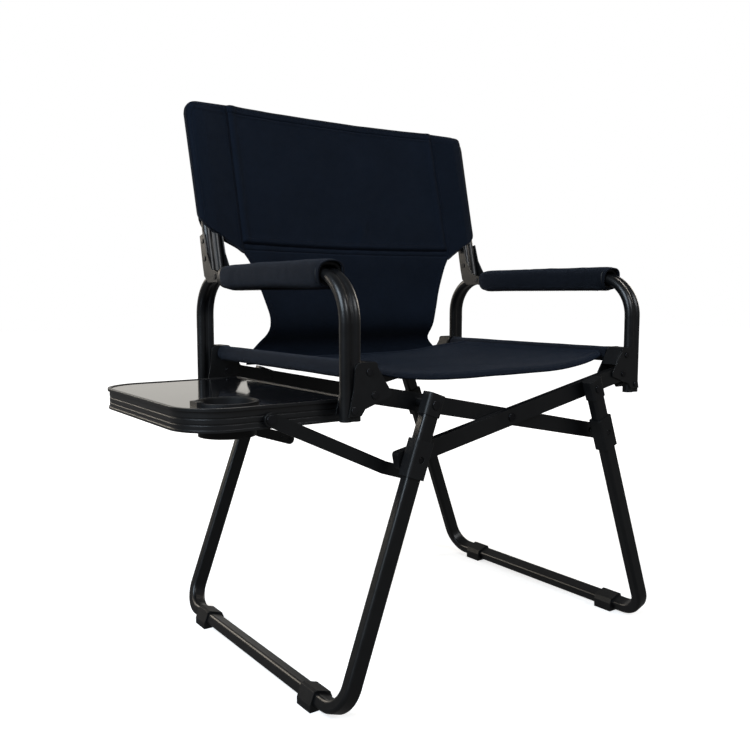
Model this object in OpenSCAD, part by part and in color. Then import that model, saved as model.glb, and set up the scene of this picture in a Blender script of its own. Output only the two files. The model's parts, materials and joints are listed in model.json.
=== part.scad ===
// Folding director's chair with a drop-down side tray.
// The sitter faces -Y, +Z is up, and +X is to the sitter's left. In the names, left and right are
// as seen from the front, so the left side is on -X, where the tray is.

/* [Seat and arms] */
// Half the distance between the two seat rails
rail_half = 260; // [200:1:330]
// Height of the seat rails' axis
seat_h = 460.6; // [420:0.1:560]
// How far the arm posts stand outboard of the rails
post_out = 24; // [22:1:34]
// Height of the arm tube's axis above the seat rails
arm_rise = 128.4; // [110:0.1:160]
// Distance of the arm posts from the middle, front and back
post_y = 224; // [190:1:280]
// Bend radius of the arm tube's axis
arm_bend = 65; // [30:1:80]
// How far the posts reach below the rails
post_drop = 60; // [54:0.5:64]
// Width of the twin-lobe tube
lobe_w = 30; // [24:0.5:34]
// Thickness of the twin-lobe tube
lobe_t = 16; // [12:0.5:18]
// Wall of the twin-lobe tube
lobe_wall = 1.5; // [1:0.1:2.5]
// Seat rail diameter
rail_d = 22; // [16:0.5:25]
// Seat rail wall
rail_wall = 1.5; // [1:0.1:2.5]
// Thickness of the rail's fabric sleeve
sleeve_t = 1.9; // [1:0.1:3]

/* [Brackets] */
// Sheet thickness of the brackets
sheet = 2; // [1.5:0.1:3]
// Inner face of the bracket's inner plate
bracket_in = 202.5; // [170:0.5:260]
// How far the bars' pins sit inboard of the rails
pin_in = 8; // [4:0.5:12]
// How far the bars' pins sit below the rails
pin_drop = 30.6; // [28:0.1:36]
// Diameter of the pins that the bars turn on
pin_d = 8; // [5:0.5:9]
// Diameter of the bolts
bolt_d = 6; // [4:0.5:7]
// Height of the post bolt below the rails
bolt_drop = 49; // [46:0.5:52]

/* [Scissor bars] */
// Height of a bar
bar_h = 25; // [18:0.5:27]
// Thickness of a bar
bar_t = 12.5; // [8:0.5:13]
// Wall of a bar
bar_wall = 1.5; // [1:0.1:2.5]
// Slope of the bars when the chair is open, in degrees
bar_rake = 11.45; // [8:0.05:16]
// How far the bars run past the slider pins
bar_tail = 8; // [4:0.5:12]
// Length of the cap beyond the bar's end
bar_cap = 12; // [6:0.5:20]

/* [Legs] */
// How far the leg pins sit inboard of the bracket pins
leg_inset = 86.5; // [70:0.5:110]
// How far the slider pins sit inboard of the bracket pins
slider_inset = 60.4; // [40:0.1:68]
// Width of the leg tube, across the chair
leg_w = 25; // [20:0.5:28]
// Thickness of the leg tube, front to back
leg_t = 18; // [14:0.5:20]
// Wall of the leg tube
leg_wall = 1.5; // [1:0.1:2.5]
// Corner radius of the leg tube
leg_corner = 5; // [2:0.5:6]
// Bend radius of the leg's axis
leg_bend = 38; // [28:1:50]
// Height of the skid's axis
skid_h = 14; // [13:0.5:20]
// Gap between the bars' outer face and the legs
leg_gap = 4.5; // [4:0.1:8]
// Length of the leg above its pin
leg_top = 12; // [9:0.5:18]
// Length of a sliding collar
collar_l = 52; // [40:1:60]
// Wall of a sliding collar across the chair
collar_wall = 3; // [2:0.1:5]
// Length of a foot clip along the skid
clip_l = 35; // [20:1:50]
// Width of a foot clip
clip_w = 36; // [30:1:44]
// Distance of a foot clip's middle from the chair's middle
clip_y = 172; // [100:1:180]

/* [Back] */
// Recline of the back posts, in degrees
recline = 13.3; // [5:0.1:18]
// Height of the back's top edge above the rails
back_rise = 425; // [360:1:500]
// Where the post's axis would meet the arm tube's height, behind the middle
back_y = 175.7; // [150:0.1:190]
// Thickness of the pocket's fabric
pocket_t = 2.2; // [1:0.1:4]
// How far the back's seams are inboard of the rails
seam_in = 32; // [28:1:60]
// Fabric thickness of the slings
fabric_t = 2; // [1:0.1:3]
// Sag of the seat
seat_sag = 13; // [6:1:40]

/* [Arm pads] */
// Width of a pad
pad_w = 48; // [40:1:56]
// Height of a pad
pad_h = 39; // [28:1:44]
// Front end of a pad, ahead of the middle
pad_front = 183; // [120:1:200]
// Rear end of a pad, behind the middle
pad_rear = 131; // [90:1:133]

/* [Tray] */
// Reach of the tray's outer edge past its hinge
tray_reach = 210; // [180:1:260]
// Width of the tray inboard of its hinge
tray_in = 26; // [18:1:28]
// Front edge of the tray, ahead of the middle
tray_front = 198.5; // [140:0.5:199]
// Rear edge of the tray, behind the middle
tray_rear = 154; // [100:1:190]
// Height of the rim
rim_h = 30; // [24:1:36]
// Top of the rim above the hinge
rim_top = 12; // [9:0.5:14]
// Outer corner radius of the rim
rim_r = 65; // [40:1:80]
// Thickness of the top panel
panel_t = 4; // [2:0.5:4.5]
// Inner radius of the cup well
cup_r = 35.5; // [28:0.5:37]
// Depth of the cup well's inside
cup_depth = 42; // [24:1:60]
// Width of the ring round the cup well
ring_w = 4; // [2:0.5:5]
// Diameter of the hinge rod
rod_d = 7; // [5:0.5:8]
// Width of a strut
strut_w = 18; // [12:0.5:20]
// Thickness of a strut
strut_t = 3; // [2:0.5:3]
// How far outboard of the hinge the struts are pinned
strut_out = 104; // [80:1:130]

/* [Hidden] */
$fn = 48;
// Running clearance of pins and slides, and the gap between neighbours that move
run = 0.05;
gap = 0.3;
// Space between the layers of bars and plates
layer = 1;
post_half = rail_half + post_out;
seam_half = rail_half - seam_in;
arm_h = seat_h + arm_rise;
post_z = seat_h - post_drop - 0.6;
bolt_h = seat_h - bolt_drop;
// Layers from the middle outwards: inner plate, bar A, bar B, outer plate, leg
bar_a_y = bracket_in + sheet + layer;
bar_b_y = bar_a_y + bar_t + layer;
plate_y = bar_b_y + bar_t + layer;
leg_in_y = bar_b_y + bar_t + leg_gap;
leg_y = leg_in_y + leg_t / 2;
// Points of the linkage, for the right-hand side
pin_x = rail_half - pin_in;
pin_z = seat_h - pin_drop;
centre_z = pin_z - pin_x * tan(bar_rake);
leg_pin_x = pin_x - leg_inset;
leg_pin_z = centre_z + leg_pin_x * tan(bar_rake);
slider_x = pin_x - slider_inset;
slider_z = centre_z - slider_x * tan(bar_rake);
leg_tilt = atan((slider_x - leg_pin_x) / (leg_pin_z - slider_z));
slider_s = norm([slider_x - leg_pin_x, leg_pin_z - slider_z]);
leg_s = (leg_pin_z - skid_h) / cos(leg_tilt);
foot_x = leg_pin_x + leg_s * sin(leg_tilt);
bar_up = pin_x / cos(bar_rake);
bar_down = slider_x / cos(bar_rake);
leg_on_bar = leg_pin_x / cos(bar_rake);
// Back post's axis at a height
function post_at(z) = back_y + (z - arm_h) * tan(recline);
back_top = seat_h + back_rise;
post_foot = arm_h + lobe_t / 2 + 2;
// Tray
hinge_x = -post_half;
tray_out_x = hinge_x - tray_reach;
tray_in_x = hinge_x + tray_in;
rim_z = bolt_h + rim_top;
ledge_z = rim_z - panel_t - 1;
lip = 2.5;
rim_wall = 5;
cup_x = tray_out_x + rim_r + 11;
cup_y = -tray_front + rim_r - 8;
cup_wall = 1.5;
strut_x = hinge_x - strut_out;
strut_z = bolt_h - 6;
// Head sizes
head_h = 1.5;
head_r = 6.5;
// The back seen from the side, from its foot behind the seat to its top edge, as [y, z]
back_profile = [[back_y + 34, seat_h - 5], [back_y + 34, seat_h + 14], [back_y + 12, seat_h + 30],
    [back_y, seat_h + 50], [back_y, arm_h - 49], [back_y + 6, arm_h - 9], [post_at(arm_h + 48), arm_h + 48],
    [post_at(back_top), back_top]];
// The back's right edge seen from the front, from its foot to its top, as [x, z]
back_edge = [[seam_half - 12, seat_h - 5], [seam_half - 32, seat_h + 10], [seam_half - 41, seat_h + 30],
    [seam_half - 42, seat_h + 50], [seam_half - 38, arm_h - 49], [seam_half - 25, arm_h - 9],
    [seam_half - 11, arm_h + 31], [seam_half, arm_h + 50], [seam_half, back_top + 1]];
// Half the distance between the centres of the post's two lobes
core = (lobe_w - lobe_t) / 2;
// Heights of the gusset rivets along the back post
gusset_holes = [21, 51];
// Strut's side view, from its upper pin: a long slope, then a shallower end
strut_kink = [173, -81];
strut_tip = [230, -99.5];
strut_pin_d = 5;
// The struts run just outside the ends of the tray
function strut_face(end) = end + 3;
foot_t = 3;
// The origin is the middle of the whole outline on the floor
shift_x = (-tray_out_x - foot_x - clip_w / 2) / 2;

FABRIC = [0.07, 0.09, 0.14];
METAL = [0.09, 0.09, 0.10];
PLASTIC = [0.05, 0.05, 0.055];
GLOSS = [0.03, 0.03, 0.035];

// The right side is drawn, and the left side is its mirror image
module side(s) {
    if (s < 0) mirror([1, 0, 0]) children();
    else children();
}

module front_back() {
    children();
    mirror([0, 1, 0]) children();
}

// A round rod along Y between two distances from the middle, on the back's half
module rod_y(x, z, r, y0, y1) {
    translate([x, y1, z]) rotate([90, 0, 0]) cylinder(r = r, h = y1 - y0);
}

module rounded(w, h, r) {
    square([w - 2 * r, h], center = true);
    square([w, h - 2 * r], center = true);
    for (x = [-1, 1], y = [-1, 1]) translate([x * (w / 2 - r), y * (h / 2 - r)]) circle(r);
}

// Twin-lobe section, wide along X
module lobes(grow = 0) {
    for (x = [-1, 1]) translate([x * (lobe_w - lobe_t) / 2, 0]) circle(d = lobe_t + 2 * grow);
    square([lobe_w - lobe_t, lobe_t * 0.8 + 2 * grow], center = true);
}

// ---- Side frame ----

module arm_path(grow, over) {
    straight = arm_h - arm_bend - post_z;
    for (y = [-post_y, post_y])
        translate([post_half, y, post_z - over]) linear_extrude(straight + over) lobes(grow);
    translate([post_half, arm_bend - post_y, arm_h]) rotate([-90, 0, 0])
        linear_extrude(2 * (post_y - arm_bend)) lobes(grow);
    for (e = [[-1, 180], [1, 90]])
        translate([post_half, e[0] * (post_y - arm_bend), arm_h - arm_bend]) rotate([0, 90, 0])
            rotate([0, 0, e[1]]) rotate_extrude(angle = 90)
                translate([arm_bend, 0]) rotate(90) lobes(grow);
}

module arm_tube() color(METAL) difference() {
    arm_path(0, 0);
    arm_path(-lobe_wall, 1);
    front_back() rod_y(post_half, bolt_h, bolt_d / 2 + run + 0.5, post_y - lobe_t, post_y + lobe_t);
}

// Plastic feet that close the ends of the arm tube
module arm_feet() color(PLASTIC) front_back() translate([post_half, post_y, post_z - foot_t]) {
    linear_extrude(foot_t) lobes();
    linear_extrude(foot_t + 4) lobes(-lobe_wall - 0.1);
}

module seat_rail() color(METAL) difference() {
    rod_y(rail_half, seat_h, rail_d / 2, -bracket_in + 0.1, bracket_in - 0.1);
    rod_y(rail_half, seat_h, rail_d / 2 - rail_wall, -bracket_in - 1, bracket_in + 1);
}

module rail_plugs() color(PLASTIC) front_back() difference() {
    rod_y(rail_half, seat_h, rail_d / 2 - rail_wall - 0.05, bracket_in - 18, bracket_in - 0.1);
    rod_y(rail_half, seat_h, bolt_d / 2 + run, bracket_in - 20, bracket_in + 1);
}

// Outline of the bracket's plates, drawn about the rail's axis, outboard to the right
module plate_outline() difference() {
    union() {
        polygon([[33, -56.5], [25, -22], [23, 0], [13, 13], [-8, 13], [-35, -28], [-35, -34], [7, -48],
            [13, -56.5]]);
        translate([12, 2]) circle(11);
        translate([-7, 7]) circle(6);
        translate([-30.5, -31]) circle(4.5);
    }
    for (h = [[0, 0, bolt_d], [-pin_in, -pin_drop, pin_d], [post_out, -bolt_drop, bolt_d]])
        translate([h[0], h[1]]) circle(d = h[2] + 2 * run);
}

module plate(y) {
    translate([rail_half, y + sheet, seat_h]) rotate([90, 0, 0]) linear_extrude(sheet) plate_outline();
}

// Two plates and the sloping web that joins them on the inboard side
module bracket() color(METAL) {
    plate(bracket_in);
    plate(plate_y);
    translate([rail_half, plate_y + 0.01, seat_h]) rotate([90, 0, 0])
        linear_extrude(plate_y - bracket_in - sheet + 0.02)
            polygon([[-10.5, 12], [-8, 13], [5, 13], [5, 11], [-7, 11], [-24, -15], [-27, -15]]);
}

module bolt(x, z, d, y0, y1) {
    rod_y(x, z, d / 2, y0, y1);
    rod_y(x, z, head_r - 1.5, y1 - 0.01, y1 + head_h);
}

// Rail bolts, and post bolts where no tray rod takes their place
module bracket_bolts(posts) color(METAL) front_back() {
    bolt(rail_half, seat_h, bolt_d, bracket_in - 16, plate_y + sheet);
    if (posts) {
        bolt(post_half, bolt_h, bolt_d, bracket_in, plate_y + sheet);
        rod_y(post_half, bolt_h, head_r - 1.5, bracket_in - head_h, bracket_in + 0.01);
    }
}

// Pins that carry one end of a bar, with a bush that fills the other bar's layer
module bar_pins(bush_y) color(METAL) front_back() {
    bolt(pin_x, pin_z, pin_d, bracket_in, plate_y + sheet);
    rod_y(pin_x, pin_z, head_r - 1, bracket_in - head_h, bracket_in + 0.01);
    rod_y(pin_x, pin_z, head_r, bush_y + 0.1, bush_y + bar_t + layer - 0.3);
}

module arm_pad() color(FABRIC) difference() {
    translate([post_half, -pad_front, arm_h - 1]) rotate([-90, 0, 0])
        linear_extrude(pad_front + pad_rear) rounded(pad_w, pad_h, 16);
    translate([post_half, -pad_front - 1, arm_h]) rotate([-90, 0, 0])
        linear_extrude(pad_front + pad_rear + 2) lobes(gap);
    arm_path(gap, 0);
}

// ---- Back ----

// Puts children in the post's own frame: X across, Y through the back, Z up along the post
module on_post(z) {
    translate([0, post_at(z), z]) rotate([-recline, 0, 0]) children();
}

module back_post() color(METAL) translate([post_half, 0, 0]) on_post(post_foot) difference() {
    h = (back_top - 8 - post_foot) / cos(recline);
    linear_extrude(h) lobes();
    translate([0, 0, -1]) linear_extrude(h + 2) lobes(-lobe_wall);
    for (s = gusset_holes) translate([-lobe_w, 0, s]) rotate([0, 90, 0])
        cylinder(r = bolt_d / 2 + run, h = 2 * lobe_w);
}

// Side plates that join the post's foot to the arm tube
module back_gussets() color(METAL) for (x = [-1, 1])
    translate([post_half + x * (lobe_w / 2 + 0.2 + sheet / 2), 0, 0]) difference() {
        rotate([90, 0, 90]) translate([0, 0, -sheet / 2]) linear_extrude(sheet) difference() {
            polygon([[back_y - 41, arm_h - 9], [back_y - 41, arm_h + 7], [back_y - 20, arm_h + 12],
                [back_y - 1, arm_h + 40], [back_y + 9, arm_h + 73], [back_y + 25, arm_h + 68],
                [back_y + 15, arm_h + 20], [back_y + 10, arm_h + 2], [back_y - 4, arm_h - 9]]);
            translate([back_y - 32, arm_h]) circle(d = bolt_d + 2 * run);
        }
        on_post(post_foot) for (s = gusset_holes) translate([-lobe_w, 0, s]) rotate([0, 90, 0])
            cylinder(r = bolt_d / 2 + run, h = 2 * lobe_w);
    }

module gusset_rivets() color(METAL) translate([post_half, 0, 0]) {
    reach = lobe_w / 2 + 0.2 + sheet;
    for (x = [-1, 1]) {
        on_post(post_foot) for (s = gusset_holes) translate([x * (reach + 0.5), 0, s])
            rotate([0, 90, 0]) cylinder(r = head_r - 2, h = 1, center = true);
        translate([x * (reach + 0.5), back_y - 32, arm_h]) rotate([0, 90, 0])
            cylinder(r = head_r - 2, h = 1, center = true);
    }
    on_post(post_foot) for (s = gusset_holes) translate([-reach - 0.5, 0, s]) rotate([0, 90, 0])
        cylinder(r = bolt_d / 2, h = 2 * reach + 1);
    for (x = [-1, 1]) translate([x * reach - (x + 1) * (sheet + 0.1) / 2, back_y - 32, arm_h])
        rotate([0, 90, 0]) cylinder(r = bolt_d / 2, h = sheet + 0.1);
}

// Loop of fabric that holds the post, from the seam to the outer edge
module back_pocket() color(FABRIC) difference() {
    z0 = arm_h + 50;
    inner_r = lobe_t / 2 + gap;
    outer_r = inner_r + pocket_t;
    on_post(z0) linear_extrude((back_top - z0) / cos(recline)) difference() {
        polygon(concat([[seam_half, fabric_t], [seam_half, -fabric_t]],
            [[post_half - core, -outer_r]], half_turn(post_half + core, outer_r, -90),
            [[post_half - core, outer_r]]));
        polygon(concat(half_turn(post_half + core, inner_r, -90),
            half_turn(post_half - core, inner_r, 90)));
    }
    // Diagonal cut that clears the post's foot
    on_post(z0) translate([seam_half - 0.01, -30, 0]) rotate([0, -34, 0])
        translate([-50, 0, -100]) cube([250, 60, 100]);
}
function half_turn(x, r, from) = [for (t = [from:10:from + 180]) [x + r * cos(t), r * sin(t)]];

// The part of the back between the pockets: it leans back above the arms, and below them it
// narrows and runs down behind the seat's rear edge
module back_sling() color(FABRIC) intersection() {
    rotate([90, 0, 90]) linear_extrude(2 * (seam_half - gap), center = true) polygon(concat(
        [for (p = back_profile) p + [fabric_t / 2, 0]],
        [for (i = [len(back_profile) - 1:-1:0]) back_profile[i] - [fabric_t / 2, 0]]));
    rotate([90, 0, 0]) linear_extrude(3 * back_y, center = true) polygon(concat(
        [for (p = back_edge) p], [for (i = [len(back_edge) - 1:-1:0]) [-back_edge[i].x, back_edge[i].y]]));
}

// ---- Seat ----

module rail_sleeve() color(FABRIC) difference() {
    rod_y(rail_half, seat_h, rail_d / 2 + sleeve_t, -bracket_in + 3, bracket_in - 3);
    rod_y(rail_half, seat_h, rail_d / 2 + 0.1, -bracket_in, bracket_in);
}

module seat_sling() color(FABRIC) {
    half = rail_half - rail_d / 2 - sleeve_t - gap - 0.1;
    steps = 24;
    xs = [for (i = [0:steps]) -half + 2 * half * i / steps];
    zs = [for (x = xs) seat_h - seat_sag * (1 - pow(x / half, 2))];
    difference() {
        translate([0, bracket_in - 3, 0]) rotate([90, 0, 0]) linear_extrude(2 * bracket_in - 6)
            polygon(concat([for (i = [0:steps]) [xs[i], zs[i]]],
                [for (i = [steps:-1:0]) [xs[i], zs[i] - fabric_t]]));
        // Corners cut back behind the bracket webs
        for (x = [-1, 1], y = [-1, 1]) translate([x * half, y * bracket_in, seat_h - 100])
            rotate([0, 0, 45]) cube([56, 56, 300], center = true);
    }
}

// ---- Scissor bars ----

// A bar from its bracket pin, on the left, to its slider pin, on the right, centred on its rivet
module bar(y) color(METAL) translate([0, y + bar_t, centre_z]) rotate([90, 0, 0])
    rotate([0, 0, -bar_rake]) difference() {
        end = bar_down + bar_tail;
        union() {
            translate([-bar_up, 0, 0]) cylinder(d = bar_h, h = bar_t);
            translate([-bar_up, -bar_h / 2, 0]) cube([bar_up + end, bar_h, bar_t]);
        }
        translate([-bar_up + bar_h / 2 + 2, bar_wall - bar_h / 2, bar_wall])
            cube([bar_up + end, bar_h - 2 * bar_wall, bar_t - 2 * bar_wall]);
        for (u = [-bar_up, -leg_on_bar, 0, bar_down]) translate([u, 0, -1])
            cylinder(d = pin_d + 2 * run, h = bar_t + 2);
    }

// Rounded plastic cap that closes the bar's lower end
module bar_end_cap(y) color(PLASTIC) translate([0, y + bar_t, centre_z]) rotate([90, 0, 0])
    rotate([0, 0, -bar_rake]) {
        end = bar_down + bar_tail;
        r = 5;
        linear_extrude(bar_t) {
            translate([end, -bar_h / 2]) square([bar_cap - r, bar_h]);
            translate([end, r - bar_h / 2]) square([bar_cap, bar_h - 2 * r]);
            for (s = [-1, 1]) translate([end + bar_cap - r, s * (bar_h / 2 - r)]) circle(r);
        }
        translate([end - 4, bar_wall + 0.1 - bar_h / 2, bar_wall + 0.1])
            cube([4.01, bar_h - 2 * bar_wall - 0.2, bar_t - 2 * bar_wall - 0.2]);
    }

module centre_rivets() color(METAL) front_back() {
    rod_y(0, centre_z, pin_d / 2, bar_a_y - 0.1, bar_b_y + bar_t + 0.1);
    rod_y(0, centre_z, head_r, bar_a_y - 0.1 - head_h * 0.6, bar_a_y - 0.1);
    rod_y(0, centre_z, head_r, bar_b_y + bar_t + 0.1, bar_b_y + bar_t + 0.1 + head_h);
}

// ---- Legs ----

// Puts children in the right leg's frame: origin at its pin, Z up along the leg
module on_leg() {
    translate([leg_pin_x, 0, leg_pin_z]) rotate([0, -leg_tilt, 0]) children();
}

module leg_path(grow, over) {
    for (y = [-leg_y, leg_y]) translate([0, y, leg_bend - leg_s])
        linear_extrude(leg_s - leg_bend + leg_top + over) leg_section(grow);
    translate([0, leg_bend - leg_y, -leg_s]) rotate([-90, 0, 0])
        linear_extrude(2 * (leg_y - leg_bend)) leg_section(grow);
    for (e = [[-1, 270], [1, 0]])
        translate([0, e[0] * (leg_y - leg_bend), leg_bend - leg_s]) rotate([0, 90, 0])
            rotate([0, 0, e[1]]) rotate_extrude(angle = 90)
                translate([leg_bend, 0]) rotate(90) leg_section(grow);
}

module leg_section(grow) {
    rounded(leg_w + 2 * grow, leg_t + 2 * grow, leg_corner + grow);
}

module leg() color(METAL) on_leg() difference() {
    leg_path(0, 0);
    leg_path(-leg_wall, 1);
    front_back() rod_y(0, 0, pin_d / 2 + run, leg_in_y - 1, leg_in_y + leg_t + 1);
}

// Caps over the tops of the leg
module leg_caps() color(PLASTIC) on_leg() front_back() difference() {
    translate([0, leg_y, -16]) linear_extrude(leg_top + 16 + 3) rounded(leg_w + 3, leg_t + 2.4, 5);
    translate([0, leg_y, -17]) linear_extrude(leg_top + 17) leg_section(0.02);
    rod_y(0, 0, pin_d / 2 + run, leg_in_y - 3, leg_in_y + leg_t + 3);
}

// Pin, washer and head at the top of each leg
module leg_pins(y) color(METAL) on_leg() front_back() {
    rod_y(0, 0, pin_d / 2, y + 0.1, leg_in_y + leg_t + 1.3);
    rod_y(0, 0, head_r, y + bar_t + 0.2, leg_in_y - 1.3);
    rod_y(0, 0, head_r, leg_in_y + leg_t + 1.3, leg_in_y + leg_t + 1.3 + head_h);
}

module foot_clips() color(PLASTIC) front_back() difference() {
    translate([foot_x, clip_y, 0]) rotate([90, 0, 0])
        translate([0, 0, -clip_l / 2]) linear_extrude(clip_l)
            polygon([[-clip_w / 2, 0], [clip_w / 2, 0], [clip_w / 2, 10], [clip_w / 2 - 7, skid_h + 13.5],
                [clip_w / 2 - 12, skid_h + 15], [3 - clip_w / 2, skid_h + 8], [-clip_w / 2, 14]]);
    on_leg() translate([0, leg_bend - leg_y, -leg_s]) rotate([-90, 0, 0])
        linear_extrude(2 * (leg_y - leg_bend)) leg_section(0.02);
}

// ---- Sliding collars ----

module slider() color(PLASTIC) on_leg() difference() {
    translate([0, leg_y, -slider_s - collar_l / 2]) linear_extrude(collar_l) difference() {
        rounded(leg_w + 2 * collar_wall, leg_t + 5, 4);
        leg_section(0.08);
    }
    rod_y(0, -slider_s, pin_d / 2 + 0.5, leg_in_y + leg_t - 1, leg_in_y + leg_t + 5);
}

// Round heads sunk in the collars' outer faces
module slider_rivets() color(METAL) on_leg() front_back()
    rod_y(0, -slider_s, pin_d / 2, leg_in_y + leg_t + 0.2, leg_in_y + leg_t + 1.8);

// ---- Tray ----

// Outline of the tray: round outer corners, square inner ones
module tray_outline(inset) {
    x0 = tray_out_x;
    y0 = -tray_front;
    y1 = tray_rear;
    translate([x0 + rim_r, y0 + inset]) square([tray_in_x - x0 - rim_r - inset, y1 - y0 - 2 * inset]);
    translate([x0 + inset, y0 + rim_r]) square([rim_r, y1 - y0 - 2 * rim_r]);
    for (y = [y0 + rim_r, y1 - rim_r]) translate([x0 + rim_r, y]) circle(r = rim_r - inset, $fn = 96);
}

module band(z0, z1, inset) {
    translate([0, 0, z0]) linear_extrude(z1 - z0) tray_outline(inset);
}

module tray_rim() color(METAL) difference() {
    bottom = rim_z - rim_h;
    groove = 2;
    union() {
        band(bottom, bottom + 3, 1);
        band(bottom, rim_z - 4, lip + 1);
        for (k = [0:2]) {
            step = (rim_h - 7) / 3;
            band(bottom + 3 + k * step, bottom + 3 + (k + 1) * step - (k < 2 ? groove : 0), lip);
        }
        band(rim_z - 4, rim_z, 0);
    }
    band(bottom - 1, ledge_z, lip + rim_wall);
    band(ledge_z - 1, rim_z + 1, lip * 2);
    rod_y(hinge_x, bolt_h, rod_d / 2 + run, -tray_front - 1, tray_rear + 1);
    rod_y(strut_x, strut_z, bolt_d / 2 + run, -tray_front - 1, tray_rear + 1);
}

module tray_panel() color(GLOSS) difference() {
    band(ledge_z, rim_z - 1, lip * 2 + 0.2);
    translate([cup_x, cup_y, 0]) cylinder(r = cup_r + cup_wall + 0.3, h = rim_z + 10);
}

// Ring on the panel round the cup well, with a raised tab on its outer side
module cup_ring() color(PLASTIC) translate([cup_x, cup_y, rim_z - 1]) {
    difference() {
        union() {
            cylinder(r = cup_r + cup_wall + ring_w, h = 3);
            translate([-cup_r - ring_w - 6, -11, 0]) cube([12, 22, 5]);
        }
        translate([0, 0, -1]) cylinder(r = cup_r + cup_wall + 0.1, h = 8);
    }
}

module cup_well() color(PLASTIC) translate([cup_x, cup_y, 0]) difference() {
    translate([0, 0, rim_z + 1 - cup_depth - cup_wall])
        cylinder(r = cup_r + cup_wall, h = cup_depth + cup_wall);
    translate([0, 0, rim_z + 1 - cup_depth]) cylinder(r = cup_r, h = cup_depth + 1);
}

// Rod through both posts and both ends of the rim
module tray_hinge_rod() color(METAL) {
    end = plate_y + sheet;
    rod_y(hinge_x, bolt_h, bolt_d / 2, -end, end);
    for (s = [-1, 1]) rod_y(hinge_x, bolt_h, head_r - 1.5, s > 0 ? end - 0.01 : -end - head_h,
        s > 0 ? end + head_h : -end + 0.01);
    rod_y(hinge_x, bolt_h, rod_d / 2, -bracket_in + 0.2, bracket_in - 0.2);
}

module strut_leg(a, b) {
    d = b - a;
    translate([a[0], a[1]]) rotate(atan2(d[1], d[0])) {
        translate([0, -strut_w / 2]) square([norm(d), strut_w]);
        circle(d = strut_w);
        translate([norm(d), 0]) circle(d = strut_w);
    }
}

module strut(y) color(METAL) translate([strut_x, y + strut_t, strut_z]) rotate([90, 0, 0])
    linear_extrude(strut_t) difference() {
        union() {
            strut_leg([0, 0], strut_kink);
            strut_leg(strut_kink, strut_tip);
        }
        circle(d = bolt_d + 2 * run);
        for (p = strut_pins()) translate(p) circle(d = strut_pin_d + 2 * run);
    }
function strut_pins() = [strut_tip, strut_tip - [16, -5.2]];

// Pins of the struts in the rim, and the screws beside the hinge
module tray_rivets() color(METAL) {
    inner = rim_wall + lip + 1;
    for (s = [[-1, tray_front], [1, tray_rear]]) mirror([0, s[0] < 0 ? 1 : 0, 0]) {
        face = s[1] - lip;
        rod_y(strut_x, strut_z, bolt_d / 2, face - inner, strut_face(s[1]) + strut_t + 0.2);
        rod_y(strut_x, strut_z, head_r, strut_face(s[1]) + strut_t + 0.2, strut_face(s[1]) + strut_t + 1.6);
        rod_y(strut_x, strut_z, head_r, face + 0.01, strut_face(s[1]) - 0.2);
        rod_y(hinge_x + 16, bolt_h + 1, 3, face, face + 1.2);
    }
}
// Near face of a strut beside a tray end

module strut_end_pins() color(METAL)
    for (s = [[-1, tray_front], [1, tray_rear]]) mirror([0, s[0] < 0 ? 1 : 0, 0])
        for (p = strut_pins()) translate([strut_x + p[0], 0, strut_z + p[1]])
            rod_y(0, 0, strut_pin_d / 2, strut_face(s[1]) - 0.8, strut_face(s[1]) + strut_t + 0.8);

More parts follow.
